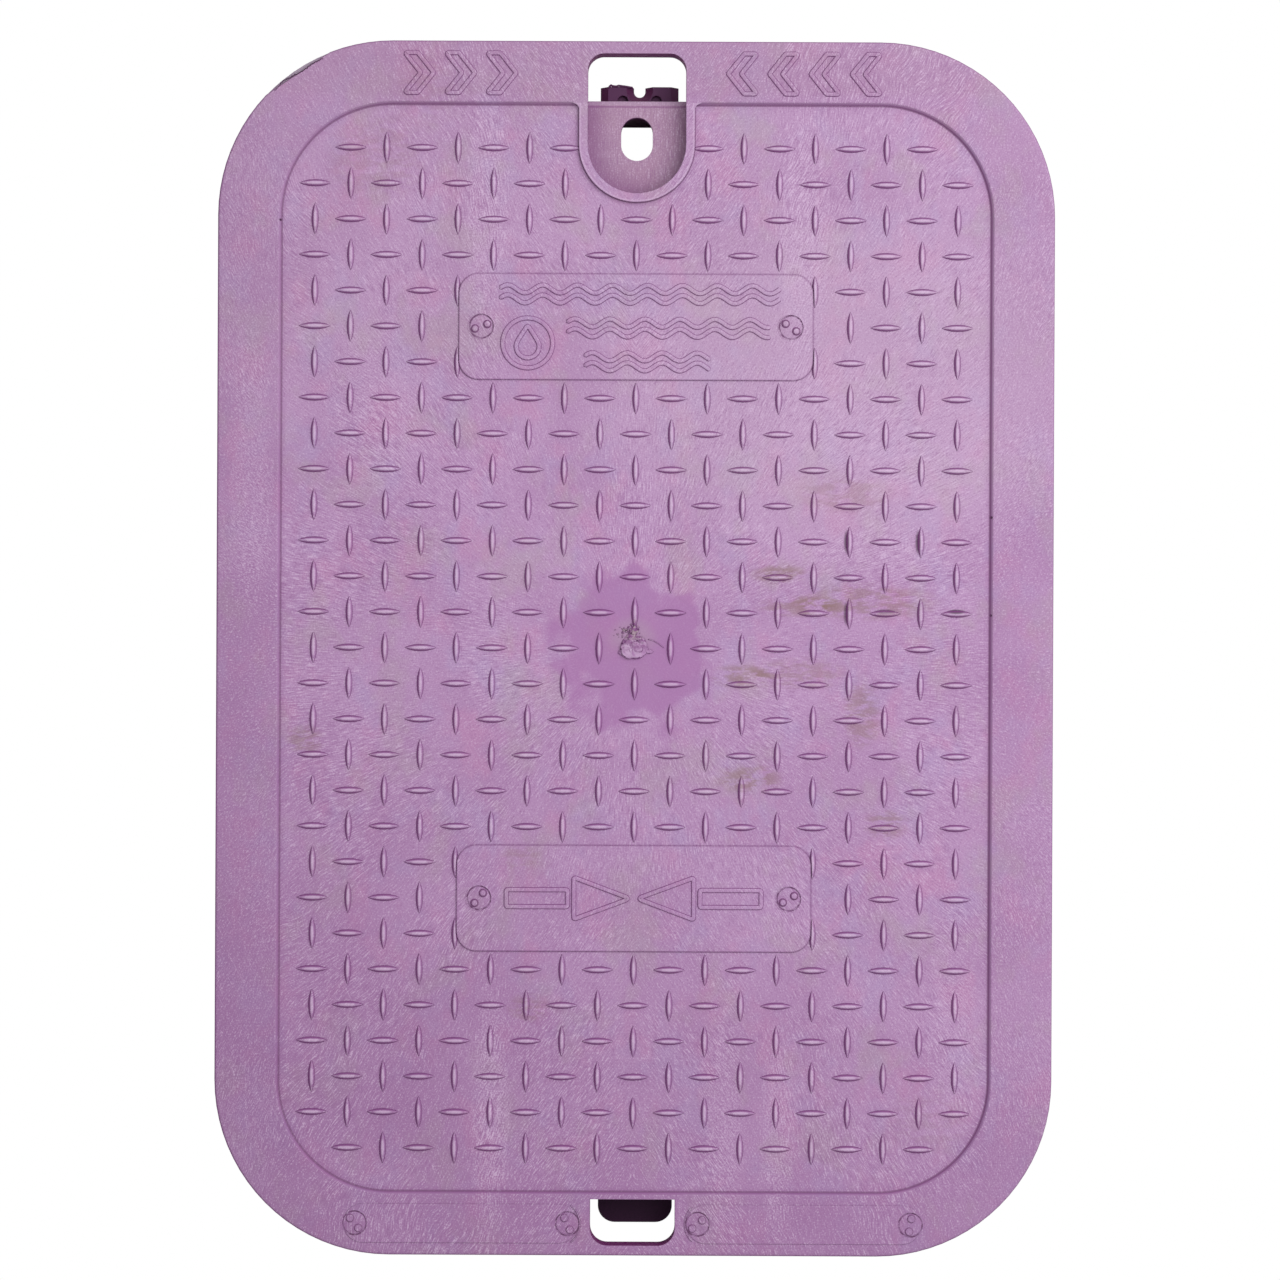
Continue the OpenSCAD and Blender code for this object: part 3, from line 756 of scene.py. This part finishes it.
from_plates = offset(from_y(PLATES_Y), PLATES_OUT)
field_gap = outline_gap(offset(plastic.x, FIELD_HALF[0] - FIELD_R),
                        offset(plastic.y, FIELD_HALF[1] - FIELD_R), FIELD_R)
pocket_gap = outline_gap(out_x, plastic.math("SUBTRACT", POCKET_Y * MM, plastic.y), POCKET_R)
wall_gap = plastic.math("MAXIMUM", field_gap, plastic.math("SUBTRACT", RING_W * MM, pocket_gap))
plate_gap = outline_gap(offset(plastic.x, PLATE_HALF[0] - PLATE_R),
                        offset(from_plates, PLATE_HALF[1] - PLATE_R), PLATE_R)
plate_mark = plastic.length(offset(plastic.x, PLATE_MARK_X), from_plates)
blank_mark = plastic.length(offset(plastic.x, BLANK_X, BLANK_MARK_X), from_y(BLANK_Y))
plastic.count("distances")

# %% The step round the field
in_field = plastic.ramp(field_gap, 1.0, 0.2)
from_wall = offset(wall_gap, 0.0)
# Painted shade at the foot of the field's step and along the plates' edges.
crevice_shade = plastic.total(
    plastic.product(plastic.slab(over_field, -2.5, -0.5, 0.6, 1.1),
                    plastic.ramp(wall_gap, -2.6, 0.0), 0.16),
    plastic.product(plastic.ramp(offset(plate_gap, 0.0), 0.55, 0.2), 0.34),
)
# Painted shade: a dark line at the foot of the field's step.
step_shade_line = plastic.product(plastic.slab(over_field, -0.2, -0.05, 0.3, 0.6),
                            plastic.ramp(from_wall, 0.5, 0.25))
at_step = plastic.product(plastic.ramp(from_wall, 1.4, 1.0), plastic.ramp(over_field, -0.3, 0.0))
# Painted highlight: a pale line along the border's inner top edge.
edge_highlight = plastic.product(plastic.ramp(over_border, -0.2, -0.05),
                            plastic.ramp(offset(wall_gap, 0.5, 0.0), 0.45, 0.1))
# Pale bar crests: worn, and a painted highlight.
crest_wear_and_highlight = plastic.product(plastic.slab(over_field, 0.85, 1.25, 1.4, 1.48), in_field,
                            plastic.ramp(plate_gap, 0.1, 0.5))
plastic.count("step round the field")

# %% Screw marks' rings and pips
MARK_EDGE = 4.9
GROOVE_R = 4.75
on_plate_mark, on_blank_mark = (plastic.ramp(mark, MARK_EDGE, MARK_EDGE - 0.5)
                                for mark in (plate_mark, blank_mark))
mark_shade = plastic.total(plastic.product(on_plate_mark, plastic.ramp(over_plate, 0.5, 0.2)),
                           plastic.product(on_blank_mark, plastic.ramp(over_blank, 0.4, 0.1)))
# Painted shade round the pips' feet.
pip_foot_shade = plastic.total(
    plastic.product(on_plate_mark, plastic.slab(over_plate, 0.04, 0.12, 0.52, 0.72)),
    plastic.product(on_blank_mark, plastic.slab(over_blank, 0.02, 0.07, 0.32, 0.44)),
)
# Painted shade in the ring grooves.
groove_shade = plastic.total(*(plastic.ramp(offset(mark, GROOVE_R, 0.0), 0.42, 0.12)
                            for mark in (plate_mark, blank_mark)))
# Noise that breaks up the painted shade in the ring grooves.
groove_shade_break = plastic.between(plastic.noise((2.4, 2.4), detail=1, shift=53), 0.60, 0.40)
plastic.count("screw marks")

# %% Pocket and holes
LIP_LINE_Y = 217.8
pocket_shade = plastic.product(plastic.ramp(pocket_gap, -11, 1), plastic.ramp(plastic.x, 14, -4))
lip_line = plastic.ramp(offset(from_y(LIP_LINE_Y), 0.0), 0.55, 0.15)
hole_edge = plastic.ramp(plastic.y, 218.2, 218.8)
in_holes = plastic.product(plastic.ramp(out_x, 21, 20),
                           plastic.slab(out_y, 218.2, 218.8, 240, 241))
plastic.count("pocket and holes")

# %% [markdown]
# ### Fibres along the flow
# A fibre is noise in polar coordinates round the gate: fine round it and drawn out away from it.
# Three such noises, made for three radii, keep the fibres about as wide everywhere. Over the border
# the flow bends towards the ends, as if the cover were wider there. Near the middle of both ends
# it spreads aside at a steeper slant instead, 35 degrees off the length. The pocket's floor was
# cut by another piece of the mould and has straight streaks along the cover.

# %% Flow
FLOW_BEND = 1.6
beyond_field = plastic.math("MAXIMUM", plastic.math("SUBTRACT", out_x, FIELD_HALF[0] * MM), 0.0)
flow_x = plastic.product(plastic.math("MULTIPLY_ADD", beyond_field, FLOW_BEND, out_x),
                         plastic.math("SIGN", plastic.x))
broad, swirl, streaky = plastic.noise((46, 46), detail=2, rough=0.55, shift=11, three=True)
flow_angle = plastic.math("ARCTAN2", plastic.y, flow_x)
flow_angle = plastic.math("MULTIPLY_ADD", plastic.centred(swirl), 0.07, flow_angle)
flow_reach = plastic.length(flow_x, plastic.y)
plastic.count("flow")

# %% Fibres
FIBRE_W = 0.36
inner = plastic.ramp(flow_reach, 85, 65)
outer = plastic.ramp(flow_reach, 140, 165)
middle = plastic.math("SUBTRACT", plastic.rest(inner), outer)
FLOW_RINGS = [  # share, radius and fibre length in mm, shift
    (inner, 45, 4.4, 3.7), (middle, 105, 4.6, 17.3), (outer, 195, 5.0, 41.9),
]
grain = plastic.total(*(
    plastic.product(share, plastic.fibres(flow_angle, flow_reach, radius, FIBRE_W, length, shift))
    for share, radius, length, shift in FLOW_RINGS))

FAN_SLOPE = 1.4
FAN_SCALE = 0.58  # about 1 / sqrt(1 + FAN_SLOPE squared), so that its cells keep their size
spread = plastic.product(plastic.ramp(out_y, 80, 125), plastic.ramp(out_x, 60, 38))
across_fan = plastic.math("MULTIPLY_ADD", out_x, -FAN_SLOPE, out_y)
along_fan = plastic.math("MULTIPLY_ADD", out_y, FAN_SLOPE, out_x)
fan = plastic.fibres(across_fan, along_fan, FAN_SCALE / MM, 0.40, 7.0, 63.1)
streaks = plastic.noise((0.45, 6.0), detail=2, rough=0.7, shift=37)
grain = plastic.swap(pocket_floor, plastic.swap(spread, grain, fan), streaks)
plastic.count("fibres")

# %% Grain
speckle = plastic.noise((0.7, 0.7), detail=1, rough=0.7, shift=71)
grain_strength = plastic.math("MULTIPLY_ADD", plastic.between(streaky, 0.34, 0.60), 0.45, 0.45)
grain = plastic.math("MULTIPLY_ADD", plastic.centred(grain), grain_strength,
                     plastic.product(plastic.centred(speckle), 0.6))
pale_fibres = plastic.between(grain, 0.02, 0.26)
dark_fibres = plastic.between(grain, -0.02, -0.26)
plastic.count("grain")

# %% [markdown]
# ### Scuffs
# A few long scratches cross the fibres, and soft pale bands run towards the two ends.

# %% Scuffs
def scratches(size, turn, shift):
    """Thin long cells of noise, only where it is strongest."""
    cells = plastic.noise(size, detail=2, rough=0.6, turn=turn, shift=shift)
    return plastic.between(cells, 0.62, 0.76)


scratch = plastic.total(scratches((30, 0.6), 118, 3), scratches((26, 0.6), 60, 17))
BANDS = [  # middle and half size in mm, strength
    (-60, 175, 11, 66, 0.55), (67, 165, 12, 60, 0.5), (-57, -185, 9, 62, 0.6),
    (36, -190, 10, 58, 0.4), (58, -195, 8, 50, 0.5), (-154, 70, 10, 70, 0.35),
    (128, -150, 12, 60, 0.3), (98, 40, 40, 12, 0.25), (-105, 96, 24, 40, 0.35),
]
bands = plastic.spots(BANDS)
plastic.count("scuffs")

# %% [markdown]
# ### Clouds, patch and stains
# Large soft clouds turn the faded colour towards pink, grey and lilac. Round the gate the plastic
# met the mould hottest and is smoother and deeper. A few brown patches are dried soil.

# %% Clouds and patch
clouds = plastic.noise((24, 30), detail=3, rough=0.62, shift=23, three=True)
pinkish, lilac, greyish = (plastic.between(cloud, 0.50, 0.72) for cloud in clouds)

patch_wobble = plastic.centred(plastic.noise((18, 18), detail=2, shift=97))
from_gate = plastic.length(plastic.x, plastic.y)
patch_reach = plastic.math("MULTIPLY_ADD", patch_wobble, -36 * MM, from_gate)
gate_patch = plastic.ramp(patch_reach, 34, 26)
plastic.count("clouds and patch")

# %% Stains
STAINS = [  # middle and half size in mm, strength
    (58, 30, 13, 5, 0.6), (66, 17, 20, 5, 0.5), (43, -11, 15, 6, 0.6), (66, -10, 22, 8, 0.4),
    (91, -26, 9, 16, 0.5), (101, -70, 11, 7, 0.5), (46, -52, 16, 7, 0.6), (-132, -37, 9, 7, 0.5),
    (-42, -144, 10, 7, 0.35), (-45, -84, 10, 6, 0.3), (84, 62, 22, 9, 0.3), (92, 19, 34, 9, 0.5),
    (-104, 196, 24, 22, 0.22), (-84, 222, 16, 18, 0.16), (118, -190, 20, 16, 0.15),
]
SPECKS = [  # dark dirt beside bars and in the step: middle and half size in mm, strength
    (84.6, 43, 1.3, 5.5, 0.7), (113.2, 43, 1.3, 5.5, 0.7), (128.7, 15.2, 4.5, 1.2, 0.8),
    (100, 15.2, 5, 1.2, 0.5), (84.5, 14.3, 1.2, 5.5, 0.6), (142.4, 53, 0.8, 0.8, 1.0),
    (142.4, 13.8, 0.7, 0.7, 1.0), (-142.4, 171, 0.7, 0.7, 1.0),
]
soil_break = plastic.between(plastic.noise((8, 3), detail=3, rough=0.65, shift=5), 0.36, 0.62)
soil = plastic.product(plastic.spots(STAINS), soil_break)
specks = plastic.spots(SPECKS)
plastic.count("stains")

# %% [markdown]
# ### Coats of colour
# The colour is built like thin coats of paint: first the faded plastic and its clouds, with painted
# shade towards the near left and painted light towards the far right, then wear and the crests'
# painted highlight, then painted shade in grooves, corners and the pocket with a painted highlight
# on the border's edge, then the torn gate, with painted shade in its crevices, and dirt, and last
# the slopes that nothing has worn and the painted shade of the hole walls, steps and depths.
# Each coat is a tint and the shares that say where it lies and how strong it is.

# %% Faded plastic
# Painted shade: darker towards the near left, where the lamp's light falls off.
near_left_shade = plastic.ramp(plastic.math("MULTIPLY_ADD", plastic.x, 0.6, plastic.y), 0, -260)
colour = plastic.mix(plastic.between(broad, 0.30, 0.70), SHADED, FADED)
colour = plastic.coat(colour, [
    (PINK, pinkish, 0.45),
    (LILAC, lilac, 0.45),
    (GREY, greyish, 0.40),
    (DUSK, near_left_shade, 0.40),
    (DUSK, plastic.rest(in_field), 0.24),
    # painted light: lighter towards the far right, where the lamp stands
    (FAR_RIGHT_LIGHT, plastic.spot(84, 104, 120, 84), 0.34),
    (GREY, plastic.ramp(plastic.y, 50, 150), 0.10),
    # painted shade in the near left corner
    (DUSK, plastic.spot(-104, -168, 62, 56), 0.20),
    (SHELTERED, plastic.ramp(plastic.y, 219, 224), 0.22),
    (SHELTERED, pocket_floor, 0.75),
])
plastic.count("faded plastic")

# %% Wear and the crests' painted highlight
worn = plastic.product(exposed, plastic.rest(plastic.product(gate_patch, 0.75)))
colour = plastic.coat(colour, [
    (PALE, bands, plastic.between(grain, -0.10, 0.16), 0.75),
    (PATCH, gate_patch, 0.75),
    (DUSK, dark_fibres, worn, 0.55),
    (PALE, pale_fibres, worn, 0.60),
    (PALE, scratch, worn, 0.15),
    # worn crests with a painted highlight
    (PALE, crest_wear_and_highlight, 0.55),
    (SOIL, soil),
])
plastic.count("wear")

# %% Marks, pocket and corners
colour = plastic.coat(colour, [
    (DUSK, mark_shade, 0.12),
    # painted highlight on the border's inner edge
    (PALE, edge_highlight, 0.35),
    # painted shade in the grooves and round the pips
    (STEP_SHADE, groove_shade, groove_shade_break, 0.8),
    (STEP_SHADE, pip_foot_shade, 0.75),
    (DEEP, pocket_floor, pocket_shade, 0.50),
    (PALE, pocket_floor, hole_edge, 0.3),
    (DEEP, pocket_floor, lip_line, 0.5),
    # painted shade in corners
    (DEEP, crevice_shade),
])
plastic.count("marks, pocket and corners")

# %% Torn gate and dirt
near_gate = plastic.spot(-1.0, 2.5, 12, 12)
gate_far_side = plastic.ramp(plastic.y, -4, 5)
above_field = plastic.ramp(over_field, 0.06, 0.22)
on_gate = plastic.product(near_gate, above_field)
on_crumbs = plastic.product(above_field, plastic.spot(-1.5, 7.6, 9, 5))
torn = plastic.noise((2.2, 1.8), detail=2, rough=0.6, shift=131)
colour = plastic.coat(colour, [
    (GREY, near_gate, gate_far_side, 0.35),
    (SHADED, on_gate, 0.35),
    # Painted shade in the stub's crevices and wrinkles, on its far side.
    (DEEP, on_gate, plastic.between(torn, 0.50, 0.40), gate_far_side, 0.8),
    (PALE, on_gate, plastic.between(torn, 0.52, 0.66), 0.20),
    (DEEP, on_gate, plastic.between(speckle, 0.48, 0.36), gate_far_side, 0.6),
    (GRIT, on_crumbs, plastic.between(torn, 0.40, 0.55), 0.55),
    (SOOT, specks),
])
plastic.count("torn gate and dirt")

# %% Chip, slopes and depths
at_chip = plastic.spot(-135, 230, 16, 16)
step_share = plastic.math("MULTIPLY_ADD", plastic.ramp(over_field, 0.4, 0.8), 0.58, 0.25)
slope_share = plastic.math("SUBTRACT", 0.88, plastic.product(at_step, step_share))
slopes = plastic.rest(facing_up_and_light)
window_end = plastic.ramp(plastic.y, -190, -210)
# Painted shade: below the holes the plastic is darkened, darkest at the window end.
depth_shade_colour = plastic.mix(window_end, plastic.mix(facing_up_and_light, DEPTH_SLOPE_SHADE, DEPTH_SHADE), DARKEST_SHADE)
colour = plastic.coat(colour, [
    (CHIPPED, at_chip, plastic.ramp(over_border, -0.1, -0.25), 0.8),
    (SOOT, at_chip, plastic.ramp(over_border, 0.03, 0.10)),
    # Slopes keep the unworn deep colour, less so on flanks that face the lamp: painted light.
    (DEEP, slopes, slope_share),
    # painted shade line at the step's foot
    (STEP_SHADE, step_shade_line, 0.60),
    # painted shade on the hole walls
    (HOLE_WALL_SHADE, in_holes, slopes),
    (depth_shade_colour, plastic.ramp(plastic.z, 35, 26)),
])
plastic.count("chip, slopes and depths")

# %% [markdown]
# ### Gloss and relief
# Worn fibres and dried soil are a little rougher than the smooth plastic. A mould's edges are never
# quite sharp: a bevel in the normals rounds them without the faces that a real one would cost. A
# fine speckle breaks the gloss.

# %% Roughness and relief
fibre_wear = plastic.product(plastic.math("ADD", grain, 0.3), worn)
rough = plastic.math("MULTIPLY_ADD", fibre_wear, 0.25, 0.52)
rough = plastic.math("MULTIPLY_ADD", soil, 0.3, rough, clamp=True)
relief = plastic.product(plastic.centred(speckle), 0.03 * MM)

bevel = plastic.tree.nodes.new("ShaderNodeBevel")
bevel.samples = 3
bevel.inputs["Radius"].default_value = 0.45 * MM
bump = plastic.tree.nodes.new("ShaderNodeBump")
bump.inputs["Distance"].default_value = 1.0
plastic.feed(bump.inputs["Height"], relief)
plastic.feed(bump.inputs["Normal"], bevel.outputs[0])

plastic.feed(plastic.surface.inputs["Base Color"], colour)
plastic.feed(plastic.surface.inputs["Roughness"], rough)
plastic.feed(plastic.surface.inputs["Normal"], bump.outputs[0])
plastic.surface.inputs["Specular IOR Level"].default_value = 0.2

pieces = (body, tread, marks, border_signs, upper_signs, lower_signs, gate, tears)
for piece in pieces:
    piece.data.materials.clear()
    piece.data.materials.append(plastic.material)
print("pieces with the plastic finish:", len(pieces))

# %% [markdown]
# ## Studio
# The photograph is a cut-out on white, taken from far above with a long lens. A pale floor stands
# for the white. The main light is a soft one from the right and a little from the far end, so
# standing bars have a bright right flank and a dark left one, and the near left corner is dimmer.

# %% Floor
FLOOR_REACH = 6.0  # metres to each side
floor_mesh = bpy.data.meshes.new("floor")
corners = [(a * FLOOR_REACH, b * FLOOR_REACH, 0) for a, b in ((-1, -1), (1, -1), (1, 1), (-1, 1))]
floor_mesh.from_pydata(corners, [], [(0, 1, 2, 3)])
floor = bpy.data.objects.new("floor", floor_mesh)
bpy.context.scene.collection.objects.link(floor)
print("floor:", 2 * FLOOR_REACH, "m square")

# %% [markdown]
# The camera sees the floor as plain white, while the light that it throws back on the cover is
# that of matt white board.

# %% Floor finish
white = Shader("floor_white")
white.surface.inputs["Base Color"].default_value = (0.8, 0.8, 0.8, 1)
white.surface.inputs["Roughness"].default_value = 0.9
glow = white.tree.nodes.new("ShaderNodeEmission")
glow.inputs["Strength"].default_value = 1.0
seen = white.tree.nodes.new("ShaderNodeLightPath").outputs["Is Camera Ray"]
blend = white.tree.nodes.new("ShaderNodeMixShader")
for socket, value in zip(blend.inputs, (seen, white.surface.outputs[0], glow.outputs[0])):
    white.feed(socket, value)
output = next(n for n in white.tree.nodes if n.type == "OUTPUT_MATERIAL")
white.feed(output.inputs["Surface"], blend.outputs[0])
floor_mesh.materials.append(white.material)
white.count("floor")

# %% [markdown]
# One square soft box is enough. Its size sets how soft the flanks' shadows are, its low angle how
# deep, and the white world fills them.

# %% Lights and world
def soft_light(name, azimuth, elevation, distance, size, power):
    """A square soft box that looks at the cover's middle from that direction."""
    light = bpy.data.lights.new(name, "AREA")
    light.size = size
    light.energy = power
    lamp = bpy.data.objects.new(name, light)
    a, e = math.radians(azimuth), math.radians(elevation)
    lamp.location = (distance * math.cos(e) * math.cos(a), distance * math.cos(e) * math.sin(a),
                     distance * math.sin(e))
    lamp.rotation_mode = "QUATERNION"
    lamp.rotation_quaternion = lamp.location.to_track_quat("Z", "Y")
    bpy.context.scene.collection.objects.link(lamp)
    print(name, "at", [round(v, 2) for v in lamp.location], "m,", power, "W")


soft_light("key_light", azimuth=36, elevation=56, distance=1.3, size=1.2, power=13.5)
WORLD_STRENGTH = 0.52
world = bpy.data.worlds.new("studio")
world.use_nodes = True
background = world.node_tree.nodes["Background"]
background.inputs["Color"].default_value = (1, 1, 1, 1)
background.inputs["Strength"].default_value = WORLD_STRENGTH
bpy.context.scene.world = world

# %% [markdown]
# ## Camera
# The holes' inner walls and the hooks show how far the lens was: about 1.6 m above the cover. The
# cover sits a little low and left in the frame and is turned by a quarter of a degree.

# %% Camera
CAMERA_HEIGHT = 1600.0
CAMERA_X, CAMERA_Y = 2.1, 3.4
CAMERA_TURN = 0.25  # degrees
PIXEL = 0.4
FRAME_PIXELS = 1280
SENSOR = 36
camera_data = bpy.data.cameras.new("camera")
camera_data.sensor_width = SENSOR
camera_data.lens = SENSOR * CAMERA_HEIGHT / (PIXEL * FRAME_PIXELS)
camera = bpy.data.objects.new("camera", camera_data)
camera.location = (CAMERA_X * MM, CAMERA_Y * MM, (CAMERA_HEIGHT + BORDER_Z) * MM)
camera.rotation_euler = (0, 0, math.radians(CAMERA_TURN))
bpy.context.scene.collection.objects.link(camera)
bpy.context.scene.camera = camera
bpy.context.scene.view_settings.view_transform = "Standard"
print("camera lens:", round(camera_data.lens, 1), "mm")
